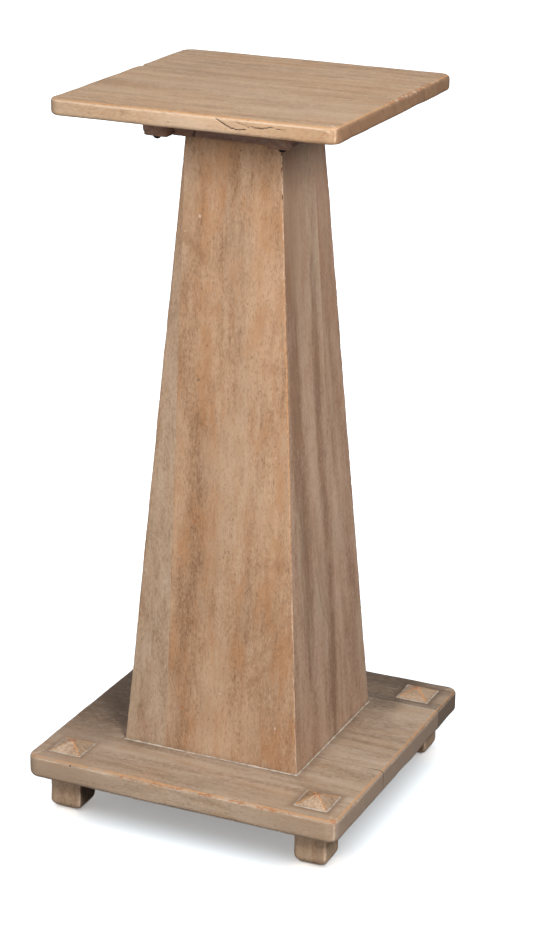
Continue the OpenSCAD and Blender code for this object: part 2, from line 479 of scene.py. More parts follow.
class Wire:
    """An output socket that stands in Python sums: each operator adds one Math node."""

    def __init__(self, finish, socket):
        self.finish = finish
        self.socket = socket

    def math(self, operation, first, second=0.0):
        """A Math node on two values or wires."""
        return self.finish.node("ShaderNodeMath", {"operation": operation}, {0: first, 1: second})

    def __add__(self, other):
        return self.math("ADD", self, other)

    __radd__ = __add__

    def __sub__(self, other):
        return self.math("SUBTRACT", self, other)

    def __rsub__(self, other):
        return self.math("SUBTRACT", other, self)

    def __mul__(self, other):
        return self.math("MULTIPLY", self, other)

    __rmul__ = __mul__

    def __truediv__(self, other):
        return self.math("DIVIDE", self, other)

    def __rtruediv__(self, other):
        return self.math("DIVIDE", other, self)

    def __pow__(self, other):
        return self.math("POWER", self, other)

    def wave(self):
        """Sine of a count of turns."""
        return self.math("SINE", self * (2 * pi))

    def bell(self, middle, width):
        """1 at the middle and 0 away from it: exp(-((value - middle) / width) squared)."""
        away = (self - middle) / width
        return self.math("POWER", 1 / np.e, away * away)

    def climb(self, low, high):
        """0 below low and 1 above high, with a smooth climb between."""
        return self.finish.node(
            "ShaderNodeMapRange", {"interpolation_type": "SMOOTHSTEP"},
            {"Value": self, "From Min": low, "From Max": high})


class Finish:
    """The node tree of a material or of the world, under construction."""

    def __init__(self, owner):
        owner.use_nodes = True
        self.owner = owner
        self.tree = owner.node_tree
        self.tree.nodes.clear()
        self.shift = np.random.default_rng(seed_of(owner.name)).uniform(-40, 40, 3)

    def feed(self, socket, value):
        """Links a wire to a socket, or sets its value."""
        if isinstance(value, Wire):
            self.tree.links.new(value.socket, socket)
        elif socket.type == "RGBA":
            socket.default_value = (*value, 1)
        else:
            socket.default_value = value

    def node(self, kind, settings=None, inputs=None, out=0):
        """Adds a node: its settings first, then the values or wires of its sockets."""
        made = self.tree.nodes.new(kind)
        for name, value in (settings or {}).items():
            if name == "stops":
                self.set_stops(made.color_ramp, value)
            else:
                setattr(made, name, value)
        for place, value in (inputs or {}).items():
            self.feed(made.inputs[place], value)
        return Wire(self, made.outputs[out])

    def set_stops(self, band, stops):
        """Places a colour ramp's stops, each a position and a colour."""
        while len(band.elements) < len(stops):
            band.elements.new(0.5)
        for element, (position, tint) in zip(band.elements, stops):
            element.position = position
            element.color = (*tint, 1)

    def mix(self, share, first, second):
        """Colour first, turned into second by a share."""
        return self.node("ShaderNodeMix", {"data_type": "RGBA"}, {0: share, 6: first, 7: second}, 2)

    def mark(self, name):
        """A mark stored on the piece's points."""
        return self.node("ShaderNodeAttribute", {"attribute_name": name}, {}, 2)

    def grain_space(self, order):
        """Across, depth and along the grain, from the axes named in order."""
        place = self.node("ShaderNodeTexCoord", {}, {}, 3)
        split = self.tree.nodes.new("ShaderNodeSeparateXYZ")
        self.feed(split.inputs[0], place)
        across, depth, along = (Wire(self, split.outputs["XYZ".index(axis)]) for axis in order)
        joined = self.node("ShaderNodeCombineXYZ", {}, {0: across, 1: depth, 2: along})
        return across, depth, along, joined

    def noise(self, place, rates, detail=3.0, roughness=0.55):
        """Noise from 0 to 1 about 0.5, with the given rate of change per metre on each axis."""
        spread = self.node("ShaderNodeMapping", {},
                           {"Vector": place, "Location": tuple(self.shift), "Scale": rates})
        self.shift = self.shift + 7.3
        return self.node("ShaderNodeTexNoise", {"normalize": True},
                         {"Vector": spread, "Scale": 1.0, "Detail": detail,
                          "Roughness": roughness})

    def surface(self, colour, roughness, height, height_scale, **plain):
        """Ends a material with one shader: colour, roughness and bump."""
        bump = self.node("ShaderNodeBump", {},
                         {"Height": height, "Distance": height_scale, "Strength": 1.0})
        inputs = {"Base Color": colour, "Roughness": roughness, "Normal": bump}
        inputs.update({name.replace("_", " "): value for name, value in plain.items()})
        return self.close("ShaderNodeOutputMaterial",
                          self.node("ShaderNodeBsdfPrincipled", {}, inputs))

    def close(self, kind, shader):
        """Ends the tree in its output node."""
        self.feed(self.tree.nodes.new(kind).inputs[0], shader)
        return self.owner


def new_finish(name):
    """A new, empty material under construction."""
    return Finish(bpy.data.materials.new(name))


def shade(tint, factor):
    """A colour with each channel multiplied."""
    return tuple(min(1.0, channel * by) for channel, by in zip(tint, factor))


# Where each tone of the grain's ramp lies, and what it multiplies the wood's colour by.
TONES = ((0.08, (0.58, 0.52, 0.47)), (0.38, (0.87, 0.84, 0.81)),
         (0.58, (1.06, 1.07, 1.08)), (0.92, (1.28, 1.36, 1.42)))


def wood(name, tint, colours, order, pith, *, ring=9 * MM, rings=0.12, lean=0.0, broad=1.0,
         streak=1.0, mottled=1.0, flow=1.0, patch=0.5, washed=0.45, stripes=(), worn=1.0,
         ends=(0.54, 0.46, 0.42)):
    """Weathered wood: rings round a pith, streaks, fibres, pores, wash, worn marks, painted shade
    and light.

    The rings' radius is the distance from the pith line across the grain, bent by slow
    noise and leaning along the grain, so that faces show long arches and ends show arcs.
    """
    f = new_finish(name)
    across, depth, along, place = f.grain_space(order)

    # The grain's tone, from 0 for dark to 1 for pale.
    warp = f.noise(place, (11, 11, 3), 2.0) - 0.5
    bend = across + warp * (22 * MM)
    radius = ((bend - pith[0]) ** 2.0 + (depth - pith[1]) ** 2.0) ** 0.5 + along * lean
    bands = (radius / ring + warp * 1.5).wave()
    wide = f.noise(place, (36, 36, 4 * flow), 3.0) - 0.5
    fine = f.noise(place, (170, 170, 16 * flow), 4.0, 0.6) - 0.5
    fibre = f.noise(place, (1300, 1300, 120), 2.0) - 0.5
    mottle = f.noise(place, (90, 90, 36), 6.0, 0.75) - 0.5
    speck = f.noise(place, (520, 520, 220), 4.0, 0.72) - 0.5
    tone = (bands * rings + wide * (0.95 * broad) + fine * (0.5 * streak)
            + mottle * (0.9 * mottled) + fibre * 0.25 + speck * 1.25 + 0.5)
    for middle, width, amount in stripes:
        tone = tone + bend.bell(middle, width) * amount
    stops = [(place_of, shade(tint, factor)) for place_of, factor in TONES]
    colour = f.node("ShaderNodeValToRGB", {"stops": stops}, {0: tone})

    # Amber and grey patches, pores, pale flecks, dark spots, stains and end grain.
    amber = (f.noise(place, (42, 42, 15), 5.0, 0.65) + speck * 0.3).climb(0.44, 0.66) * patch
    colour = f.mix(amber, colour, shade(tint, (0.98, 0.80, 0.62)))
    veil = (f.noise(place, (26, 26, 6), 4.0, 0.6) + fine * 0.4).climb(0.46, 0.66) * washed
    colour = f.mix(veil, colour, tuple(colours.wash))
    pores = f.noise(place, (760, 760, 230), 2.0).climb(0.58, 0.70)
    colour = f.mix(pores * 0.36, colour, shade(tint, (0.46, 0.40, 0.36)))
    flecks = f.noise(place, (640, 640, 200), 2.0).climb(0.62, 0.74)
    colour = f.mix(flecks * 0.26, colour, shade(tint, (1.35, 1.45, 1.55)))
    spots = f.noise(place, (360, 360, 130), 2.0).climb(0.69, 0.77)
    colour = f.mix(spots * 0.4, colour, tuple(colours.dirt_and_shade))
    stain = f.mark("stain") * (0.85 + mottle + speck)
    colour = f.mix(stain * 0.8, colour, shade(tint, (0.62, 0.52, 0.45)))
    end = f.mark("end")
    colour = f.mix(end * (0.85 + wide + mottle), colour, shade(tint, ends))

    # Grime and painted shade, pale worn edges and painted highlights, rust and cracks.
    rough = f.noise(place, (420, 420, 160), 3.0) - 0.5
    patchy = f.noise(place, (34, 34, 34), 4.0) - 0.5
    grime = (f.mark("grime") * (1 + rough * 1.2 + mottle)).climb(0.05, 0.95)
    colour = f.mix(grime * 0.78, colour, tuple(colours.dirt_and_shade))
    gold = (f.mark("gold") * (1 + patchy * 2.2 + rough * 1.8)).climb(0.35, 0.85) * worn
    colour = f.mix(gold * 0.66, colour, tuple(colours.gold))
    bare = (f.mark("cream") * (1 - patchy * 2.4 + rough * 1.8)).climb(0.40, 0.90) * worn
    colour = f.mix(bare * 0.6, colour, tuple(colours.cream))
    # Painted light on the top's front face, in the pale edge colour.
    colour = f.mix(f.mark("bleach"), colour, tuple(colours.cream))
    rust = (f.mark("rust") + rough * 0.5).climb(0.2, 0.6)
    colour = f.mix(rust * 0.7, colour, tuple(colours.rust))
    pale = (f.mark("pale") * (1 + rough * 3.0)).climb(0.2, 0.8)
    colour = f.mix(pale * 0.55, colour, shade(colours.cream, (1.0, 1.05, 1.15)))
    crack = (f.mark("crack") + rough * 0.3).climb(0.25, 0.65)
    colour = f.mix(crack * 0.9, colour, shade(colours.dirt_and_shade, (0.5, 0.45, 0.4)))

    # Relief and roughness.
    height = (fibre * 0.5 + fine * 0.8 + mottle * 0.6 + speck * 0.5 + bands * (rings * 0.4)
              - pores * 0.35 - spots * 0.6 - crack * 1.5 + rough * 0.25)
    gloss = 0.6 + rough * 0.22 + veil * 0.12 + grime * 0.12 - bare * 0.06
    return f.surface(colour, gloss, height, 0.35 * MM, Specular_IOR_Level=0.22)


def filler_finish(colours):
    """Pale wood filler, chalky and a little dirty."""
    f = new_finish("filler")
    _, _, _, place = f.grain_space("XYZ")
    cloud = f.noise(place, (160, 160, 160), 4.0, 0.6)
    grit = f.noise(place, (1400, 1400, 1400), 2.0)
    colour = f.mix((cloud + grit * 0.3).climb(0.58, 0.95), tuple(colours.filler),
                   shade(colours.filler, (0.42, 0.38, 0.34)))
    return f.surface(colour, 0.7 + grit * 0.2, cloud + grit * 0.4, 0.2 * MM)


def screw_finish(colours):
    """Black oxide steel with rubbed high spots."""
    f = new_finish("screw black")
    _, _, _, place = f.grain_space("XYZ")
    grit = f.noise(place, (900, 900, 900), 3.0)
    rubbed = grit.climb(0.55, 0.75)
    colour = f.mix(rubbed * 0.5, tuple(colours.screw), (0.12, 0.11, 0.1))
    return f.surface(colour, 0.42 + grit * 0.2, grit, 0.05 * MM, Metallic=0.8)


# ---------------------------------------------------------------- boards

# Steps of the boards' grids: on a face, in a roundover and near a rounded corner; then how
# far the fine steps reach beside a glue line and an opening, and how much rounder the base's
# lower edge is than its upper one.
FACE_STEP = 2.35 * MM
EDGE_STEP = 0.6 * MM
CORNER_STEP = 1.1 * MM
SEAM_STRIP = 2.4 * MM
CUT_STRIP = 2.2 * MM
LOWER_EDGE = 1.35


def plank_stops(half, corner, edge, low, high):
    """Lines across a board or one plank of it, from low to high.

    They lie close together where the board is rounded at its ends, and at a glue line.
    """
    stops = [(low, EDGE_STEP), (low + SEAM_STRIP, FACE_STEP)]
    if low <= -half + MM:
        stops = [(-half, EDGE_STEP), (-half + edge, CORNER_STEP), (-half + corner, FACE_STEP)]
    if high >= half - MM:
        return stops + [(half - corner, CORNER_STEP), (half - edge, EDGE_STEP), (half, 0)]
    return stops + [(high - SEAM_STRIP, EDGE_STEP), (high, 0)]


def cut_stops(cuts, step):
    """Lines close together at each edge of an opening, and a step apart past it."""
    return [stop for cut in cuts for stop in
            ((cut - CUT_STRIP, EDGE_STEP), (cut, EDGE_STEP), (cut + CUT_STRIP, step))]


def seam_groove(wear, seams, depth, shown=1.0):
    """A fine groove on each glue line, dark in places; the glued faces themselves stay flat."""
    y = wear.points[:, 1]
    for seam in seams:
        near = bell(y - seam, 0.7 * MM) * shown
        wear.depth += depth * near
        fade = np.clip(0.55 + 0.45 * ripple(wear.points, 60 * MM, int(abs(seam) / MM)), 0, 1)
        wear.add("crack", 0.8 * near * fade)
        wear.facing[abs(y - seam) < SLACK, 1] = 0


def top_front_marks(wear, half, high):
    """Cracks, scratches and nicks of the top's front plank."""
    front = -half / MM
    wear.split([(28, front, 760), (35, front, 756), (42, front, 752.5), (49, front, 751),
                (59, front, 751.5)], 0.6, 0.6, amount=0.85, wander=0.12)
    wear.split([(49, front, 758), (62, front, 755), (76, front, 754), (84, front, 756.5),
                (100, front, 754.5)], 0.75, 0.4, amount=0.7, wander=0.25, seed=4)
    wear.split([(133, front, 751), (140, front, 757)], 0.6, 0.3, "rust", 0.8)
    wear.split([(138, front, 760), (146, front, 757), (149, front, 751), (150, front, 746)],
               1.6, 0.1, "cream", 0.8)
    wear.dent((-71, front, 755), 5, 0.8, "grime", 0.4)
    wear.dent((87, -62, high / MM), 2.5, 0.3, "pale")
    wear.dent((front, 43, high / MM - 2), 8, 2.2, "grime", 0.3)


def top_side_marks(wear, half, edge, high):
    """Slanting stains on the right end grain, and rust and chips along the arris above it."""
    x, y, z = wear.points.T
    on_side = wear.facing[:, 0] > SQUARE_ON
    slant = np.stack((x, y + 0.8 * z, 0 * z), 1)
    wear.add("stain", 1.2 * np.clip(0.3 + 0.7 * ripple(slant, 15 * MM, 61), 0, 1) * on_side)
    wear.add("grime", 0.3 * np.clip(ripple(slant, 14 * MM, 62) - 0.2, 0, 1) * on_side)
    wear.add("grime", 0.3 * ramp(y, 90 * MM, 60 * MM) * on_side)
    rubbed = bell(y - 35 * MM, 85 * MM) * bell(half - x - 2.5 * MM, 2.6 * MM) * (z > high - edge)
    wear.add("rust", 0.75 * rubbed * np.clip(0.6 + ripple(wear.points, 9 * MM, 63), 0, 1))
    wear.add("grime", 0.25 * rubbed)
    wear.add("pale", rubbed * np.clip(1.5 * ripple(wear.points, 8 * MM, 64) - 1, 0, 1))


def top_planks(sizes, colours):
    """The top board's two planks: worn arrises, a notch in the left edge, cracks in the front."""
    half, low, high = TOP_HALF, TOP_LOW.z, TOP_HIGH.z
    corner, edge = sizes.top_corner, sizes.top_edge
    crack_from, crack_to = 20 * MM, 106 * MM
    stops = plank_stops(half, corner, edge, -half, half)
    xs = places_along(*stops[:3], (crack_from, 0.8 * MM), (crack_to, FACE_STEP), *stops[3:])
    zs = places_along((low, EDGE_STEP), (low + edge, 1 * MM), (high - edge, EDGE_STEP), (high, 0))
    finish = wood("top wood", colours.top, colours, "YZX", (-0.05, low - 0.09),
                  ring=13 * MM, rings=0.07, lean=0.03, washed=0.35, broad=0.8, patch=0.35)
    spans = {"top_plank_front": (-half, TOP_SEAM), "top_plank_rear": (TOP_SEAM, half)}
    for name, (y_from, y_to) in spans.items():
        ys = places_along(*plank_stops(half, corner, edge, y_from, y_to))
        points, quads = block_skin(xs, ys, zs)
        uneven = edge * (1 + 0.08 * ripple(points, 90 * MM, 5))
        points, turn = eased_board(points, half, low, high, corner,
                                   np.clip(uneven, 0.6 * edge, min(1.4 * edge, corner)))
        wear = Wear(points, quads, ridge_of(turn))
        # Golden and pale lines along the edges and up the corners; the pale ones are partly painted
        # highlight.
        wear.line_edges(turn, (low + high) / 2, 1.25 * (points[:, 0] < half - corner))
        wear.line_corners(half, corner, 0.8)
        wear.soften(0.35 * MM, 45 * MM, 11, (2.5, 1, 1))
        wear.rub(0.5 * sizes.wear, 24 * MM, 12)
        wear.find_ends(0)
        x = points[:, 0]
        seam_groove(wear, [TOP_SEAM], sizes.seam, ramp(-x, 25 * MM, 60 * MM))
        wear.nick(26, 13, 1.2 * MM, 0.4 * MM, "pale")
        wear.nick(40, 14, 1.4 * MM, 0.5 * MM, "rust")
        top_side_marks(wear, half, edge, high)
        on_front = wear.facing[:, 1] < -SQUARE_ON
        # Painted light on the top's front face, palest near its middle and on its left half.
        wear.add("bleach", 0.40 * bell(x - 5 * MM, 75 * MM) * on_front)
        wear.add("bleach", 0.14 * (x < 0) * on_front)
        wear.add("stain", 0.4 * ramp(x, 75 * MM, 50 * MM) * on_front)
        if name == "top_plank_front":
            top_front_marks(wear, half, high)
        wear.make(name, finish, "top_wood")


def mortice_squares():
    """The four mortices of the base, each as x and y limits."""
    half = POST_HALF - TENON_SHOULDER + TENON_GAP
    return [(sx * POST_MIDDLE - half, sx * POST_MIDDLE + half,
             sy * POST_MIDDLE - half, sy * POST_MIDDLE + half) for sx, sy in CORNERS.values()]


def near_square(points, middle_x, middle_y, half):
    """Distance outside a square, in plan."""
    return np.maximum(abs(points[:, 0] - middle_x), abs(points[:, 1] - middle_y)) - half


def base_marks(wear, half, high, mortices):
    """Painted shade round and behind the column and on the left rear; a stain and hollow at each
    mortice.
    """
    x, y, z = wear.points.T
    on_top = z > high - MM
    to_column = np.maximum(near_square(wear.points, 0, 0, FOOT_HALF), 0)
    # Painted shade in the corner round the column's foot.
    wear.add("grime", 0.42 * bell(to_column, 11 * MM) * on_top)
    # Painted shade of the column on the base's left rear and behind the column.
    at_left = ramp(-x, 85 * MM, 35 * MM) * ramp(y, -150 * MM, 110 * MM)
    behind = ramp(y, 40 * MM, 60 * MM) * ramp(-x, -150 * MM, 25 * MM)
    wear.add("grime", 0.88 * np.maximum(at_left, 0.8 * behind) * on_top)
    wear.add("stain", 0.9 * ramp(y, -20 * MM, 110 * MM) * (wear.facing[:, 0] > SQUARE_ON))
    wear.dent((half / MM - 5, 5 - half / MM, high / MM), 7, 0.3, "rust", 0.7)
    for x_low, x_high, y_low, y_high in mortices:
        out = near_square(wear.points, (x_low + x_high) / 2, (y_low + y_high) / 2,
                          (x_high - x_low) / 2)
        wear.depth += 0.45 * MM * bell(out, 1.3 * MM) * on_top
        wear.add("grime", 0.30 * bell(out - 2 * MM, 4 * MM) * on_top)
        wear.add("stain", 0.9 * bell(out - 2 * MM, 5 * MM) * on_top)


def base_front_marks(wear, half, high):
    """Nicks of the base's front edge, its stained ends and a long dark growth line on top."""
    front, level = -half / MM, high / MM
    x, y, _ = wear.points.T
    wear.dent((-125, front, 64), 1.6, 1.2, "crack")
    wear.dent((120, front, 58), 2.2, 0.6, "pale")
    wear.dent((145, front, 50), 2.2, 0.6, "pale")
    wear.add("stain", 0.5 * ramp(-x, 40 * MM, 80 * MM))
    wear.add("stain", 0.5 * ramp(x, 60 * MM, 60 * MM) * (y < 5 * MM - half))
    growth = [(-150, -139, level), (-60, -136, level), (40, -130, level), (112, -127, level)]
    wear.split(growth, 3, 0.1, "stain", 1.0, wander=1.8, seed=70)
    wear.split(growth, 0.9, 0.2, "grime", 0.5, wander=2.2, seed=71)
    wear.split([(-66, front, 65), (20, front, 66), (116, front, 65)], 1.6, 0.1, "rust", 0.9,
               wander=0.8)


def base_planks(sizes, colours):
    """The base board's three planks, with four mortices right through them."""
    half, low, high = BASE_HALF, BASE_LOW.z, BASE_HIGH.z
    corner, edge = sizes.base_corner, sizes.base_edge
    squares = mortice_squares()
    cuts = sorted({cut for square in squares for cut in square[:2]})
    stops = plank_stops(half, corner, edge, -half, half)
    xs = places_along(*stops[:3], *cut_stops(cuts, 2.3 * MM), *stops[3:])
    zs = places_along((low, EDGE_STEP), (low + edge, 1.3 * MM), (high - edge, EDGE_STEP), (high, 0))
    spans = {
        "base_plank_front": (-half, BASE_SEAMS[0], 1.0),
        "base_plank_middle": (*BASE_SEAMS, 0.95),
        # The rear plank is made about half as bright, after the dark strip behind the column, which
        # is partly painted shade.
        "base_plank_rear": (BASE_SEAMS[1], half, 0.52),
    }
    for number, (name, (y_from, y_to, tone)) in enumerate(spans.items()):
        finish = wood(name.replace("_", " "), shade(colours.base, (tone,) * 3), colours, "YZX",
                      (-0.02 + 0.09 * number, low - 0.05), ring=11 * MM, rings=0.08, lean=-0.04,
                      washed=0.6, streak=1.3, broad=1.3, ends=(0.70, 0.69, 0.72))
        mine = [square for square in squares if y_from < square[2] and square[3] < y_to]
        stops = plank_stops(half, corner, edge, y_from, y_to)
        for square in mine[:1]:
            stops = sorted(stops + cut_stops(square[2:], FACE_STEP))
        ys = places_along(*stops)
        points, quads = block_skin(xs, ys, zs, mine)
        rounder = np.where(points[:, 2] < (low + high) / 2, LOWER_EDGE, 1)
        uneven = edge * rounder * (1 + 0.08 * ripple(points, 110 * MM, 6))
        points, turn = eased_board(points, half, low, high, corner,
                                   np.clip(uneven, 0.6 * edge, corner))
        wear = Wear(points, quads, ridge_of(turn))
        # Golden and pale lines along the edges and up the corners; the pale ones are partly painted
        # highlight.
        wear.line_edges(turn, (low + high) / 2, 0.66)
        wear.line_corners(half, corner, 0.75)
        wear.soften(0.45 * MM, 50 * MM, 21, (2.5, 1, 1))
        wear.rub(0.6 * sizes.wear, 28 * MM, 22)
        wear.find_ends(0)
        seam_groove(wear, BASE_SEAMS, sizes.seam)
        wear.nick(22, 23 + number, 1.3 * MM, 0.4 * MM, "pale")
        wear.nick(60, 33 + number, 1.6 * MM, 0.6 * MM, "rust")
        base_marks(wear, half, high, mine)
        if name == "base_plank_front":
            base_front_marks(wear, half, high)
        wear.make(name, finish, "base_wood")


# ---------------------------------------------------------------- column

CORNER_OFFSETS = np.array((0, 0.35, 0.75, 1.2, 1.8, 2.6)) * MM
CORNER_REACH = 3.6 * MM
WALL_POINTS = 4
INNER_POINTS = 5
NO_LIMIT = 1.0
# The height about which the arrises are most orange, and how far that reaches.
ORANGE_LEVEL = 430 * MM
ORANGE_SPREAD = 130 * MM


def column_board(name, turn, s_from, s_to, sizes, across_step, level_step):
    """One board of the column: its section carried up the taper.

    In the side's own frame, s runs along the side, d inward from its face and z up. At a
    height the section runs along the face from the left edge to the right, in along the right
    edge, back along the inner face and out along the left edge. An edge is an upright glue
    line where s_from or s_to limits it, or else the mitre s = half width - d. At a mitre the
    face turns through 45 degrees on the arris radius.
    Returns the points, quads, caps, nearness to an arris, and the way out at each point:
    square to the face, turned with the arris so that a mitre's edge moves along its own
    joint, and zero on the joints and the inner face, which take no wear.
    """
    low, high = (corner.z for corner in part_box(name))
    z = np.linspace(low, high, ceil((high - low) / level_step) + 1)[:, None]
    half = column_half(z)
    mitre_left, mitre_right = s_from is None, s_to is None
    s_from = -NO_LIMIT if mitre_left else s_from
    s_to = NO_LIMIT if mitre_right else s_to
    seams = [abs(s) for s in (s_from, s_to) if abs(s) < NO_LIMIT and name.endswith("strip")]
    seam_reach = max(seams, default=0.0)
    deep = np.clip(half - seam_reach, 0, COLUMN_WALL)

    left, right = np.maximum(s_from, -half), np.minimum(s_to, half)
    width = right - left
    ends = CORNER_OFFSETS * np.minimum(1, width / (3 * CORNER_REACH))
    reach = CORNER_REACH * np.minimum(1, width / (3 * CORNER_REACH))
    count = max(2, ceil(float(width.max()) / across_step))
    share = np.linspace(0, 1, count)[None, :]
    middle = left + reach + (width - 2 * reach) * share
    s = np.hstack((left + ends, middle, (right - ends)[:, ::-1]))
    from_left, from_right = s - left, right - s

    along = np.concatenate((np.zeros((len(z), 2)), z), 1)
    radius = sizes.arris * (1 + 0.3 * ripple(along, 60 * MM, seed_of(f"arris{turn}")))[:, None]
    radius = np.clip(radius, sizes.arris / 2, CORNER_REACH)
    d = np.zeros_like(s)
    arris = np.zeros_like(s)
    lean = np.zeros_like(s)
    for gap, sign, mitred in ((from_left, 1, mitre_left), (from_right, -1, mitre_right)):
        if mitred:
            angle = pi / 4 * np.clip(1 - gap / radius, 0, 1)
            corner = left if sign > 0 else right
            s = np.where(angle > 0, corner + sign * radius * (1 - np.sin(angle)), s)
            d = np.where(angle > 0, radius * (1 - np.cos(angle)), d)
            arris = np.maximum(arris, bell(gap, 1.5 * MM))
            lean -= sign * angle
        else:
            d += sizes.seam * 0.3 * bell(gap, 0.6 * MM)

    steps = np.linspace(0, 1, WALL_POINTS + 1)[None, 1:]
    d_right = d[:, -1:] + (deep - d[:, -1:]).clip(0) * steps
    d_left = d[:, :1] + (deep - d[:, :1]).clip(0) * steps
    s_right = np.minimum(s_to, half - d_right)
    s_left = np.maximum(s_from, d_left - half)
    back = np.linspace(0, 1, INNER_POINTS + 2)[None, 1:-1]
    s_back = s_right[:, -1:] + (s_left[:, -1:] - s_right[:, -1:]) * back
    d_back = np.repeat(d_right[:, -1:], INNER_POINTS, 1)
    s = np.hstack((s, s_right, s_back, s_left[:, ::-1]))
    d = np.hstack((d, d_right, d_back, d_left[:, ::-1]))
    unworn = np.zeros((len(z), s.shape[1] - arris.shape[1]))
    arris = np.hstack((arris, unworn))
    way = np.stack((np.hstack((np.sin(lean), unworn)), np.hstack((-np.cos(lean), unworn)),
                    np.zeros_like(s)), -1)

    y = d - half
    flat = np.stack((s, y, np.broadcast_to(z, s.shape)), -1)
    spin = np.array(((cos(turn), sin(turn), 0), (-sin(turn), cos(turn), 0), (0, 0, 1)))
    return (*loft(flat @ spin), arris.ravel(), (way @ spin).reshape(-1, 3))


def column_painted_shade(wear):
    """Painted shade: darker under the top board, in the corner just above the base, and towards the
    foot.
    """
    z = wear.points[:, 2]
    above_base = z - COLUMN_LOW.z
    wear.add("grime", 0.24 * bell(np.maximum(COLUMN_HIGH.z - 24 * MM - z, 0), 22 * MM))
    wear.add("grime", 0.42 * bell(above_base, 7 * MM))
    wear.add("grime", 0.22 * bell(above_base, 130 * MM))


def front_marks(wear):
    """Knots, scratches and nicks of the column's front."""
    for place, radius, depth, mark, amount in (
            ((-33, -58, 638), 3, 0.4, "pale", 1),
            ((-49, -60, 621), 2, 0.3, "pale", 0.8),
            ((8.6, -53.3, 707), 2.2, 0.5, "crack", 0.8),
            ((-29, -70.5, 471), 3.2, 0.8, "grime", 0.8),
            ((61, -75.5, 403), 2.4, 0.3, "pale", 1),
            ((54, -76, 396), 2, 0.3, "pale", 0.8),
            ((-28, -81.5, 321), 3, 0.9, "rust", 1),
            ((23, -92.7, 166), 2, 0.3, "pale", 0.7),
            ((9, -94.7, 139), 2.2, 0.3, "pale", 0.8),
            ((-34.5, -96.5, 115), 2.8, 1.2, "rust", 1),
            ((73, -96.5, 113), 2.6, 0.3, "pale", 1)):
        wear.dent(place, radius, depth, mark, amount)
    wear.split([(19, -77, 379), (18, -78.5, 359)], 0.8, 0.1, "pale", 0.5, wander=0.5)
    wear.split([(-73, -86.5, 252), (-55, -86.5, 255)], 0.7, 0.3, "crack", 0.5, wander=0.4)
    wear.split([(-50, -60, 617), (-38, -61, 607), (-26, -61.5, 594)], 5, 0.1, "stain", 0.7,
               wander=2, seed=21)
    wear.split([(46, -84, 287), (78, -84, 293)], 5, 0.05, "stain", 0.5, wander=2, seed=40)
    for step in range(4):
        rise = 24 * step
        wear.split([(36, -94, 150 + rise), (62, -91, 176 + rise), (84, -89, 214 + rise)],
                   3, 0.05, "stain", 0.55, wander=1.6, seed=30 + step)


def right_marks(wear):
    """The long growth line of the right side, curving out towards the rear as it falls."""
    path = np.array([(82, -28.5, 330), (82, -28, 316), (84.6, -25, 278), (87.5, -17, 237.5),
                     (89.4, -9.6, 212), (91, 6.5, 189)])
    wear.split(path, 1.8, 0.1, "stain", 0.9, wander=0.6, seed=50)
    wear.split(path + (0, 8, 4), 5, 0.05, "stain", 0.55, wander=1.5, seed=51)


def near_arris_marks(wear):
    """The open mitre near the head of the near corner, and its chips."""
    def corner(z):
        half = column_half(z * MM) / MM
        return half, -half, z
    wear.split([corner(z) for z in (664, 680, 696, 712)], 0.8, 1.4, wander=0.5, seed=9)
    for z, radius in ((716, 3.2), (655, 3.2), (610, 2.4), (560, 2.4), (519, 4), (469, 2.4),
                      (330, 2.4)):
        wear.dent(corner(z), radius, 1, "pale", 0.5)


def column_boards(colours):
    """What each board is made with.

    The turn of its side in degrees, its limits along the side, its finish, the steps of its
    grid across and up in millimetres, and its slot.
    """
    front = wood("column front wood", colours.front, colours, "XYZ", (0.05, 0.16),
                 ring=17 * MM, rings=0.10, lean=0.10, patch=0.62, washed=0.30,
                 stripes=((8 * MM, 10 * MM, 0.10), (-30 * MM, 12 * MM, -0.06)))
    strip = wood("column strip wood", colours.strip, colours, "XYZ", (-0.03, 0.2),
                 rings=0.05, patch=0.2, washed=0.6, broad=0.7)
    right = wood("column right wood", colours.side, colours, "YXZ", (-0.04, -0.02),
                 ring=15 * MM, rings=0.12, lean=0.05, patch=0.25, washed=0.5, broad=1.3,
                 stripes=((-50 * MM, 15 * MM, -0.36), (-21 * MM, 11 * MM, 0.20),
                          (6 * MM, 10 * MM, -0.16)))
    edge = wood("column right strip wood", shade(colours.side, (0.99, 0.97, 0.96)), colours,
                "YXZ", (0.1, -0.05), rings=0.07, patch=0.2, washed=0.6,
                stripes=((31 * MM, 12 * MM, 0.12),))
    rear = wood("column rear wood", shade(colours.side, (1.1, 1.05, 1.0)), colours,
                "XYZ", (-0.03, -0.12), ring=15 * MM, rings=0.06, lean=0.08, patch=0.5, washed=0.4)
    left = wood("column left wood", colours.side, colours, "YXZ", (0.02, 0.15),
                ring=17 * MM, rings=0.05, lean=-0.07, patch=0.4, washed=0.45)
    return {
        "column_front_strip": (0, None, FRONT_SEAM, strip, 1.6, 1.6, "column_grey_wood"),
        "column_front_board": (0, FRONT_SEAM, None, front, 1.8, 1.7, "column_wood"),
        "column_right_board": (90, None, RIGHT_SEAM, right, 1.9, 1.8, "column_grey_wood"),
        "column_right_strip": (90, RIGHT_SEAM, None, edge, 1.8, 1.8, "column_grey_wood"),
        "column_rear_board": (180, None, None, rear, 3.0, 2.9, "column_wood"),
        "column_left_board": (270, None, None, left, 3.0, 2.9, "column_grey_wood"),
    }


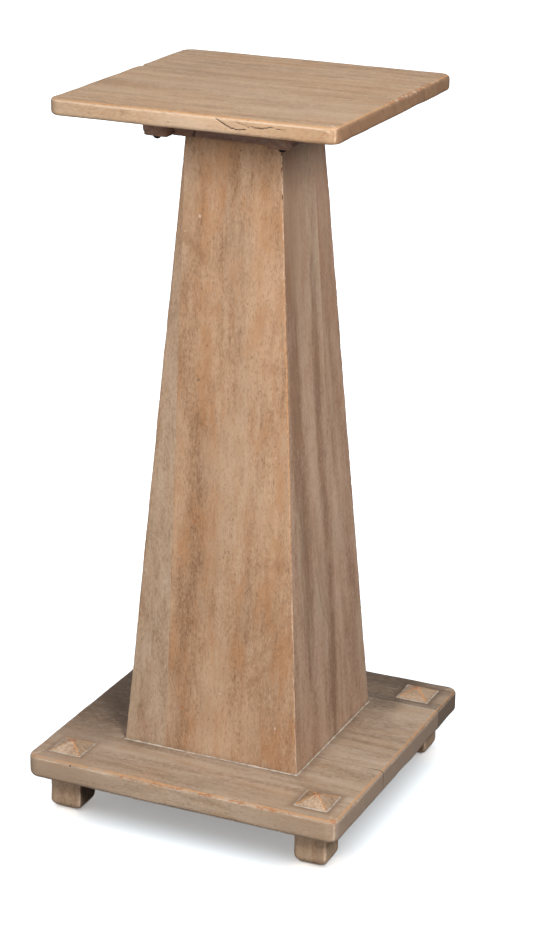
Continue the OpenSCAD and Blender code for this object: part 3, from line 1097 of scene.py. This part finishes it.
def column(sizes, colours):
    """The column's six boards: front and right are glued of two, rear and left are one each."""
    for name, (degrees, s_from, s_to, finish, across, level, slot) in (
            column_boards(colours).items()):
        points, quads, caps, arris, way = column_board(
            name, radians(degrees), s_from, s_to, sizes, across * MM, level * MM)
        wear = Wear(points, quads, arris, way)
        wear.soften(0.3 * MM, 40 * MM, seed_of(name), (1, 1, 3))
        wear.rub(0.4 * sizes.wear, 20 * MM, 41)
        wear.nick(36, seed_of(name) + 1, 1.6 * MM, 0.5 * MM, "pale")
        wear.nick(50, seed_of(name) + 2, 1.8 * MM, 0.5 * MM, "rust")
        _, y, z = points.T
        orange = 0.2 + 0.8 * bell(z - ORANGE_LEVEL, ORANGE_SPREAD)
        wear.add("gold", arris * orange)
        wear.add("cream", 0.9 * arris * (1.1 - orange))
        column_painted_shade(wear)
        if degrees == 0:
            front_marks(wear)
        if name in ("column_front_board", "column_right_board"):
            near_arris_marks(wear)
        if name == "column_right_board":
            right_marks(wear)
            wear.add("stain", 0.75 * ramp(z, 500 * MM, 120 * MM) * ramp(-y, 0, 30 * MM))
        if name == "column_front_strip":
            wear.add("stain", 0.6 * ramp(z, 450 * MM, 200 * MM))
        if name == "column_right_strip":
            wear.add("stain", 0.4 * ramp(z, 350 * MM, 200 * MM))
            wear.dent((71.6, 31.7, 456), 1.8, 0.5, "crack")
        wear.make(name, finish, slot, caps)


# ---------------------------------------------------------------- feet

def square_ring(side):
    """One turn round a square of half width 1, counter-clockwise, from the places on one side."""
    side = side[:-1]
    ones = np.ones_like(side)
    return (np.concatenate((side, ones, -side, -ones)),
            np.concatenate((-ones, side, ones, -side)))


SOLE_CORNER = 3 * MM
TENON_CORNER = 1 * MM
HEAD_SWELL = 0.35 * MM


def post_profile(sizes):
    """Half width, level and corner radius up a post.

    Out along the sole, round the toe, up the foot, in at the shoulder, up the tenon, and up
    the low pyramid, whose slope swells by a share of the sine of its length.
    """
    toe, corner = sizes.post_toe, sizes.post_corner
    turn = np.linspace(0, pi / 2, 11)
    rows = [(half, 0, SOLE_CORNER) for half in np.linspace(SOLE_CORNER, POST_HALF - toe, 5)[:-1]]
    rows += [(POST_HALF - toe + toe * sin(a), toe - toe * cos(a), corner) for a in turn]
    rows += [(POST_HALF, z, corner) for z in places_along((toe, 1.2 * MM), (BASE_LOW.z, 0))[1:]]
    tenon = POST_HALF - TENON_SHOULDER
    stand = BASE_HIGH.z + TENON_STAND
    levels = places_along((BASE_HIGH.z - MM, 0.5 * MM), (stand, 0))
    rows += [(tenon, z, TENON_CORNER) for z in (BASE_LOW.z, BASE_HIGH.z - 2 * MM, *levels)]
    height = POST_HIGH.z - stand
    for share in np.linspace(0, 1, 18)[1:]:
        swell = HEAD_SWELL * sin(pi * share)
        half = tenon + (TIP_HALF - tenon) * share
        soft = (1 + 2.6 * min(1, 3 * share)) * MM
        rows.append((half, stand + height * share + swell * (1 - share), soft))
    rows.append((TIP_HALF / 2, POST_HIGH.z, 0.5 * MM))
    return np.array(rows)


def feet(sizes, colours):
    """The four posts: foot, tenon through the base, and the worn pyramid on top."""
    unit_x, unit_y = square_ring(places_along((-1, 0.06), (-0.7, 0.09), (0.7, 0.06), (1, 0)))
    half, level, corner = (values[:, None] for values in post_profile(sizes).T)
    x, y, _, _ = rounded_plan(half * unit_x, half * unit_y, half, half,
                              np.minimum(corner, 0.7 * half))
    rings = np.stack((x, y, np.broadcast_to(level, x.shape)), -1)
    to_corner = half * (1 - np.minimum(abs(unit_x), abs(unit_y)))
    ridge = bell(to_corner, 3 * MM).ravel()
    for place, (sx, sy) in CORNERS.items():
        name = "foot_" + place
        seed = seed_of(name)
        finish = wood(name.replace("_", " ") + " wood", colours.post, colours, "XYZ",
                      (sx * POST_MIDDLE + 0.03, sy * POST_MIDDLE + 0.05), ring=6 * MM,
                      rings=0.1, washed=0.4, patch=0.4)
        points, quads, caps = loft(rings + (sx * POST_MIDDLE, sy * POST_MIDDLE, 0))
        z = points[:, 2]
        on_head = z > BASE_HIGH.z
        tip = bell(POST_HIGH.z - z, 1.6 * MM)
        wear = Wear(points, quads, np.clip(ridge + tip, 0, 1))
        wear.add("gold", ridge * np.where(on_head, 0.95, 0.45))
        # Pale wood on the heads, with painted light making the faces that look to the front paler
        # still.
        ahead = -wear.facing[:, 1] > abs(wear.facing[:, 0])
        wear.add("cream", np.where(on_head, 0.3 + 0.35 * ahead, 0.75 * ridge))
        wear.soften(0.5 * MM, 14 * MM, seed)
        wear.rub(sizes.wear, 6 * MM, seed + 1)
        wear.nick(20, seed + 2, 2 * MM, 0.6 * MM, "pale")
        wear.nick(14, seed + 3, 2 * MM, 0.6 * MM, "rust")
        crown = (sx * POST_MIDDLE / MM - 1, sy * POST_MIDDLE / MM + 1, POST_HIGH.z / MM)
        wear.dent(crown, 8, 0, "rust")
        wear.add("grime", 0.45 * bell(z - BASE_HIGH.z, 1.2 * MM))
        # Painted shade just under the base's underside.
        wear.add("grime", 0.5 * bell(z - BASE_LOW.z, 7 * MM))
        # Painted shade on the feet's inner faces, beneath the base.
        inward = np.maximum(POST_MIDDLE - sx * points[:, 0], POST_MIDDLE - sy * points[:, 1])
        inner = ramp(inward, POST_HALF - 2 * MM, 2 * MM)
        wear.add("grime", 0.85 * inner * (z < BASE_LOW.z))
        wear.make(name, finish, "foot_wood", caps)


# ---------------------------------------------------------------- cleats and screws

CLEAT_CORNER = 9 * MM
CLEAT_SIDE_TOE = 7 * MM
CLEAT_END_TOE = 5 * MM
CROSS_TOE = 2 * MM


def eased_stops(low, high, radius, step):
    """Lines along a block, closer together where its ends are rounded."""
    return places_along((low, EDGE_STEP * 1.3), (low + radius, step),
                        (high - radius, EDGE_STEP * 1.3), (high, 0))


def toe(points, axis, low, high, bottom, radius):
    """Rounds a block's two lower edges that lie across an axis, by turning each corner round.

    Also gives how near each point is to the middle of its rounding, from 0 to 1.
    """
    middle = (low + high) / 2
    out = np.maximum(abs(points[:, axis] - middle) - ((high - low) / 2 - radius), 0)
    down = np.maximum(bottom + radius - points[:, 2], 0)
    new_out, new_down = to_disc(out, down)
    points = points.copy()
    points[:, axis] += np.sign(points[:, axis] - middle) * (new_out - out)
    points[:, 2] += down - new_down
    return points, 2 * np.minimum(out, down) / np.maximum(out + down, 1e-12)


def cleats(colours):
    """Two long cleats with rounded ends and two short ones between them."""
    long_finish = wood("cleat wood", colours.cleat, colours, "XZY", (0.02, 0.6), ring=8 * MM,
                       rings=0.12, patch=0.5, washed=0.12, worn=0.8)
    cross_finish = wood("cross cleat wood", shade(colours.cleat, (0.85, 0.85, 0.9)), colours,
                        "YZX", (0.02, 0.6), ring=8 * MM, rings=0.12, patch=0.4, washed=0.15,
                        worn=0.25)
    for name in ("cleat_left", "cleat_right", "cleat_front", "cleat_rear"):
        low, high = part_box(name)
        zs = places_along((low.z, EDGE_STEP * 1.2), (low.z + CLEAT_SIDE_TOE, 1.4 * MM), (high.z, 0))
        if name in ("cleat_left", "cleat_right"):
            finish = long_finish
            points, quads = block_skin(eased_stops(low.x, high.x, CLEAT_CORNER, 1.6 * MM),
                                       eased_stops(low.y, high.y, CLEAT_CORNER, 2 * MM), zs)
            middle = np.array(((low.x + high.x) / 2, (low.y + high.y) / 2, 0))
            x, y, _, _ = rounded_plan(*(points - middle)[:, :2].T, (high.x - low.x) / 2,
                                      (high.y - low.y) / 2, CLEAT_CORNER)
            points = np.stack((x, y, points[:, 2]), 1) + middle
            points, near_end = toe(points, 1, low.y, high.y, low.z, CLEAT_END_TOE)
            outside = abs(points[:, 0]) > abs(middle[0])
            points, near_side = toe(points, 0, low.x, high.x, low.z,
                                    np.where(outside, CLEAT_SIDE_TOE, CROSS_TOE))
            arris = 0.5 * np.maximum(near_end, near_side)
        else:
            finish = cross_finish
            points, quads = block_skin(places_along((low.x, 1.6 * MM), (high.x, 0)),
                                       eased_stops(low.y, high.y, CROSS_TOE, 1.6 * MM), zs)
            points, arris = toe(points, 1, low.y, high.y, low.z, CROSS_TOE)
        wear = Wear(points, quads, arris)
        wear.add("gold", arris)
        wear.soften(0.4 * MM, 22 * MM, seed_of(name))
        wear.nick(18, seed_of(name) + 1, 2 * MM, 0.6 * MM, "rust", 0.2)
        # Painted shade along the top of each cleat, under the top board.
        wear.add("grime", 0.6 * bell(high.z - points[:, 2], 4 * MM))
        if name == "cleat_front":
            wear.split([(-30, low.y / MM, 722), (-29, low.y / MM, 729)], 1, 0.6)
        wear.make(name, finish, "cleat_wood")


HEAD_HEIGHT = 3.5 * MM
SHANK_R = 2.1 * MM
RECESS_HALF = 0.55 * MM
RECESS_REACH = 2.4 * MM
RECESS_DEPTH = 1.3 * MM
DOME_RINGS = 20


def screws(colours):
    """Domed black screws with a cross recess, driven up through the long cleats.

    A circle is carried along the profile: the dome's arc from its middle out to the rim,
    in under the head to the shank, and up the shank.
    """
    finish = screw_finish(colours)
    around = np.linspace(0, 2 * pi, 73)[:-1]
    for place in CORNERS:
        name = "screw_" + place
        low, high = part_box(name)
        head_r = (high.x - low.x) / 2
        seat = low.z + HEAD_HEIGHT
        dome = (head_r ** 2 + HEAD_HEIGHT ** 2) / (2 * HEAD_HEIGHT)
        on_dome = np.linspace(0.02, 1, DOME_RINGS) * head_r
        r = np.append(on_dome, (head_r, SHANK_R, SHANK_R))[:, None]
        z = np.append(low.z + dome - np.sqrt(dome ** 2 - on_dome ** 2), (seat, seat, high.z))
        x, y = r * np.cos(around), r * np.sin(around)
        level = np.broadcast_to(z[:, None], x.shape).copy()
        arm_x = (abs(x) < RECESS_HALF) & (abs(y) < RECESS_REACH)
        arm_y = (abs(y) < RECESS_HALF) & (abs(x) < RECESS_REACH)
        level[:DOME_RINGS] += RECESS_DEPTH * (arm_x | arm_y)[:DOME_RINGS]
        centre = ((low.x + high.x) / 2, (low.y + high.y) / 2, 0)
        points, quads, caps = loft(np.stack((x, y, level), -1) + centre)
        piece(name, points, quads.tolist() + caps, finish, "black_screw", name)


# ---------------------------------------------------------------- filler lines

BEAD_STEP = 2 * MM
BEAD_OUT = np.array((-0.5, 0.3, 0.8, 1.0, 0.55, 0.28, 0.1, -0.5))
BEAD_UP = np.array((-0.1, -0.1, -0.1, 0.05, 0.16, 0.4, 1.0, 0.9))


def bead(name, middle, half, level, width, height, finish, seed):
    """A thin line of filler in the corner between an upright square and a level face.

    A small hollow-faced section is carried round the square: from inside the upright, out
    along the level face, up in a shallow hollow to the upright, and back. Its width and
    height swing with a slow ripple round the square.
    """
    unit_x, unit_y = (unit[:, None] for unit in square_ring(places_along((-1, BEAD_STEP / half),
                                                                         (1, 0))))
    path = half * np.hstack((unit_x, unit_y, np.zeros_like(unit_x)))
    swing = np.clip(1 + 0.22 * ripple(path, 12 * MM, seed), 0.35, 1.6)[:, None]
    reach = half + BEAD_OUT * width * swing
    ring = np.stack((middle[0] + unit_x * reach, middle[1] + unit_y * reach,
                     level + BEAD_UP * height * swing), -1)
    ids = np.arange(reach.size).reshape(reach.shape)
    ids = np.vstack((ids, ids[:1]))
    ids = np.hstack((ids, ids[:, :1]))
    piece(name, ring.reshape(-1, 3), quads_of(ids).tolist(), finish, "base_wood")


def fillers(sizes, colours):
    """Filler round the column's foot and round each pyramid head."""
    finish = filler_finish(colours)
    bead("column_foot_filler", (0, 0), FOOT_HALF - 0.2 * MM, COLUMN_LOW.z, sizes.filler,
         0.9 * MM, finish, 71)
    for place, (sx, sy) in CORNERS.items():
        bead("head_filler_" + place, (sx * POST_MIDDLE, sy * POST_MIDDLE),
             POST_HALF - TENON_SHOULDER, BASE_HIGH.z - 0.5 * MM, 1.2 * MM, 0.7 * MM, finish,
             seed_of(place))


# ---------------------------------------------------------------- stage

CAMERA_TURN = radians(23.88)
CAMERA_RISE = radians(20.09)
CAMERA_ROLL = radians(0.81)
CAMERA_DISTANCE = 2.567
CAMERA_TARGET = Vector((0, 0, 0.381))
CAMERA_PAN = (0.02796, -0.02858)
CAMERA_LENS = 93.1


def camera():
    """A long lens, turned to the right of the front and looking down a little."""
    back = Vector((sin(CAMERA_TURN) * cos(CAMERA_RISE),
                   -cos(CAMERA_TURN) * cos(CAMERA_RISE), sin(CAMERA_RISE)))
    right = Vector((cos(CAMERA_TURN), sin(CAMERA_TURN), 0))
    up = back.cross(right)
    place = (CAMERA_TARGET + back * CAMERA_DISTANCE
             + right * CAMERA_PAN[0] + up * CAMERA_PAN[1])
    data = bpy.data.cameras.new("camera")
    data.lens = CAMERA_LENS
    data.sensor_fit = "VERTICAL"
    data.sensor_height = 36
    eye = bpy.data.objects.new("camera", data)
    tilted = Matrix.Rotation(CAMERA_ROLL, 3, "Z")
    turned = Matrix((right, up, back)).transposed() @ tilted
    eye.matrix_world = Matrix.Translation(place) @ turned.to_4x4()
    bpy.context.scene.collection.objects.link(eye)
    bpy.context.scene.camera = eye


def hang(name, data, away, skips):
    """Hangs a lamp that shines the opposite way to `away` and shows in no reflection.

    `skips` is a light linking collection: what it excludes isn't lit.
    """
    made = bpy.data.objects.new(name, data)
    made.rotation_euler = away.to_track_quat("Z", "Y").to_euler()
    made.light_linking.receiver_collection = skips
    made.visible_glossy = False
    bpy.context.scene.collection.objects.link(made)
    return made


def lamp(name, toward, level, spread, skips=None):
    """A distant soft lamp: level is the brightness of a white face turned straight to it."""
    data = bpy.data.lights.new(name, "SUN")
    data.energy = level * pi
    data.angle = radians(spread)
    hang(name, data, Vector(toward), skips)


def softbox(name, place, target, side, level, skips):
    """A square soft light: level is the brightness of a white card at the target that faces it.

    A lamp of power P lights such a card at a distance r to P / (pi r) squared.
    """
    away = Vector(place) - Vector(target)
    data = bpy.data.lights.new(name, "AREA")
    data.size = side
    data.energy = level * (pi * away.length) ** 2
    made = hang(name, data, away, skips)
    made.location = place
    made.visible_camera = False


def seen(finish):
    """1 for what the camera sees straight, in a mirror or through glass, and 0 for lighting."""
    path = finish.tree.nodes.new("ShaderNodeLightPath")
    rays = [Wire(finish, path.outputs[name])
            for name in ("Is Camera Ray", "Is Glossy Ray", "Is Transmission Ray")]
    return finish.node("ShaderNodeMath", {"operation": "ADD", "use_clamp": True},
                       {0: rays[0] + rays[1], 1: rays[2]})


# The floor's colour for the camera and its own glow, both set so that it shows white outside
# the shadow; then its colour in mirrors and in the light that it throws back.
FLOOR_RADIUS = 14.0
FLOOR_GAIN = (4.8, 5.25, 5.6)
FLOOR_GLOW = 0.24
FLOOR_MIRRORED = 0.9
FLOOR_BOUNCE = 0.45


def floor():
    """A wide flat white floor, as rings of quads round the origin."""
    around = np.linspace(0, 2 * pi, 97)[:-1]
    radii = np.array((0.4, 1, 2, 4, 8, FLOOR_RADIUS))[:, None]
    x, y = radii * np.cos(around), radii * np.sin(around)
    ids = np.arange(x.size).reshape(x.shape)
    faces = quads_of(np.hstack((ids, ids[:, :1]))).tolist() + [ids[0].tolist()]
    mesh = bpy.data.meshes.new("floor")
    mesh.from_pydata(np.stack((x, y, 0 * x), -1).reshape(-1, 3).tolist(), [], faces)
    made = bpy.data.objects.new("floor", mesh)
    bpy.context.scene.collection.objects.link(made)
    f = new_finish("floor white")
    colour = f.mix(seen(f), (FLOOR_BOUNCE,) * 3, (FLOOR_MIRRORED,) * 3)
    plain = f.node("ShaderNodeBsdfDiffuse", {}, {"Color": colour})
    bright = f.node("ShaderNodeBsdfDiffuse", {}, {"Color": FLOOR_GAIN})
    glow = f.node("ShaderNodeEmission", {}, {"Color": (1, 1, 1), "Strength": FLOOR_GLOW})
    shown = f.node("ShaderNodeAddShader", {}, {0: bright, 1: glow})
    direct = f.node("ShaderNodeLightPath", {}, {}, "Is Camera Ray")
    shader = f.node("ShaderNodeMixShader", {}, {0: direct, 1: plain, 2: shown})
    mesh.materials.append(f.close("ShaderNodeOutputMaterial", shader))
    return made


WORLD_LIGHT = 0.12


def world():
    """Even white light all round, and a white background."""
    sky = bpy.data.worlds.new("studio")
    bpy.context.scene.world = sky
    f = Finish(sky)
    strength = seen(f) * (1 - WORLD_LIGHT) + WORLD_LIGHT
    light = f.node("ShaderNodeBackground", {}, {"Color": (1, 1, 1), "Strength": strength})
    f.close("ShaderNodeOutputWorld", light)


def stage():
    """Floor, lamps, background and camera; of the lamps, only the overhead one lights the floor."""
    bpy.context.scene.view_settings.view_transform = "Standard"
    not_floor = bpy.data.collections.new("lit by every lamp but the floor")
    not_floor.objects.link(floor())
    not_floor.collection_objects[0].light_linking.link_state = "EXCLUDE"
    softbox("key", place=(1.04, -1.12, 1.35), target=(0, -0.08, 0.5), side=0.5, level=1.05,
            skips=not_floor)
    softbox("top", place=(0, 0.15, 1.35), target=(0, 0, TOP_HIGH.z), side=0.5, level=0.12,
            skips=not_floor)
    softbox("side", place=(1.1, -0.4, 0.14), target=(BASE_HALF, 0, 0.1), side=0.4, level=0.17,
            skips=not_floor)
    lamp("front", toward=(-0.25, -0.945, 0.21), level=0.36, spread=20, skips=not_floor)
    lamp("overhead", toward=(0, 0, 1), level=0.16, spread=90)
    lamp("back", toward=(-0.7, 0.75, 0.08), level=0.40, spread=50, skips=not_floor)
    world()
    camera()


# ---------------------------------------------------------------- operators

def settings(context):
    """The scene's sizes and colours."""
    return context.scene.pedestal_sizes, context.scene.pedestal_colours


class PEDESTAL_OT_top(bpy.types.Operator):
    """Build the two planks of the top board"""

    bl_idname = "pedestal.top"
    bl_label = "Top board"
    bl_options = {"REGISTER", "UNDO"}

    def execute(self, context):
        top_planks(*settings(context))
        return {"FINISHED"}


class PEDESTAL_OT_cleats(bpy.types.Operator):
    """Build the four cleats under the top board"""

    bl_idname = "pedestal.cleats"
    bl_label = "Cleats"
    bl_options = {"REGISTER", "UNDO"}

    def execute(self, context):
        cleats(context.scene.pedestal_colours)
        return {"FINISHED"}


class PEDESTAL_OT_screws(bpy.types.Operator):
    """Build the four cleat screws"""

    bl_idname = "pedestal.screws"
    bl_label = "Screws"
    bl_options = {"REGISTER", "UNDO"}

    def execute(self, context):
        screws(context.scene.pedestal_colours)
        return {"FINISHED"}


class PEDESTAL_OT_column(bpy.types.Operator):
    """Build the six boards of the column"""

    bl_idname = "pedestal.column"
    bl_label = "Column"
    bl_options = {"REGISTER", "UNDO"}

    def execute(self, context):
        column(*settings(context))
        return {"FINISHED"}


class PEDESTAL_OT_base(bpy.types.Operator):
    """Build the three planks of the base board"""

    bl_idname = "pedestal.base"
    bl_label = "Base board"
    bl_options = {"REGISTER", "UNDO"}

    def execute(self, context):
        base_planks(*settings(context))
        return {"FINISHED"}


class PEDESTAL_OT_feet(bpy.types.Operator):
    """Build the four feet with their tenons and pyramid heads"""

    bl_idname = "pedestal.feet"
    bl_label = "Feet"
    bl_options = {"REGISTER", "UNDO"}

    def execute(self, context):
        feet(*settings(context))
        return {"FINISHED"}


class PEDESTAL_OT_fillers(bpy.types.Operator):
    """Build the filler lines round the column's foot and the heads"""

    bl_idname = "pedestal.fillers"
    bl_label = "Filler lines"
    bl_options = {"REGISTER", "UNDO"}

    def execute(self, context):
        fillers(*settings(context))
        return {"FINISHED"}


class PEDESTAL_OT_stage(bpy.types.Operator):
    """Set the floor, the lamps, the background and the camera"""

    bl_idname = "pedestal.stage"
    bl_label = "Stage"
    bl_options = {"REGISTER", "UNDO"}

    def execute(self, context):
        stage()
        return {"FINISHED"}


OPERATORS = (PEDESTAL_OT_top, PEDESTAL_OT_cleats, PEDESTAL_OT_screws, PEDESTAL_OT_column,
             PEDESTAL_OT_base, PEDESTAL_OT_feet, PEDESTAL_OT_fillers, PEDESTAL_OT_stage)


class PEDESTAL_PT_sidebar(bpy.types.Panel):
    """Sizes, colours and build steps of the pedestal."""

    bl_idname = "PEDESTAL_PT_sidebar"
    bl_label = "Pedestal"
    bl_space_type = "VIEW_3D"
    bl_region_type = "UI"
    bl_category = "Pedestal"

    def draw(self, context):
        for group in (context.scene.pedestal_sizes, context.scene.pedestal_colours):
            box = self.layout.box()
            for name in type(group).__annotations__:
                box.prop(group, name)
        for operator in OPERATORS:
            self.layout.operator(operator.bl_idname)


CLASSES = (PedestalSizes, PedestalColours, *OPERATORS, PEDESTAL_PT_sidebar)


def register():
    """Registers the classes and gives every scene its sizes and colours."""
    for entry in CLASSES:
        bpy.utils.register_class(entry)
    bpy.types.Scene.pedestal_sizes = PointerProperty(type=PedestalSizes)
    bpy.types.Scene.pedestal_colours = PointerProperty(type=PedestalColours)


def unregister():
    """Takes back what register() did, in the opposite order."""
    del bpy.types.Scene.pedestal_colours
    del bpy.types.Scene.pedestal_sizes
    for entry in reversed(CLASSES):
        bpy.utils.unregister_class(entry)


def main():
    """Registers the add-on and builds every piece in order."""
    register()
    for operator in OPERATORS:
        group, name = operator.bl_idname.split(".")
        getattr(getattr(bpy.ops, group), name)()


if __name__ == "__main__":
    main()
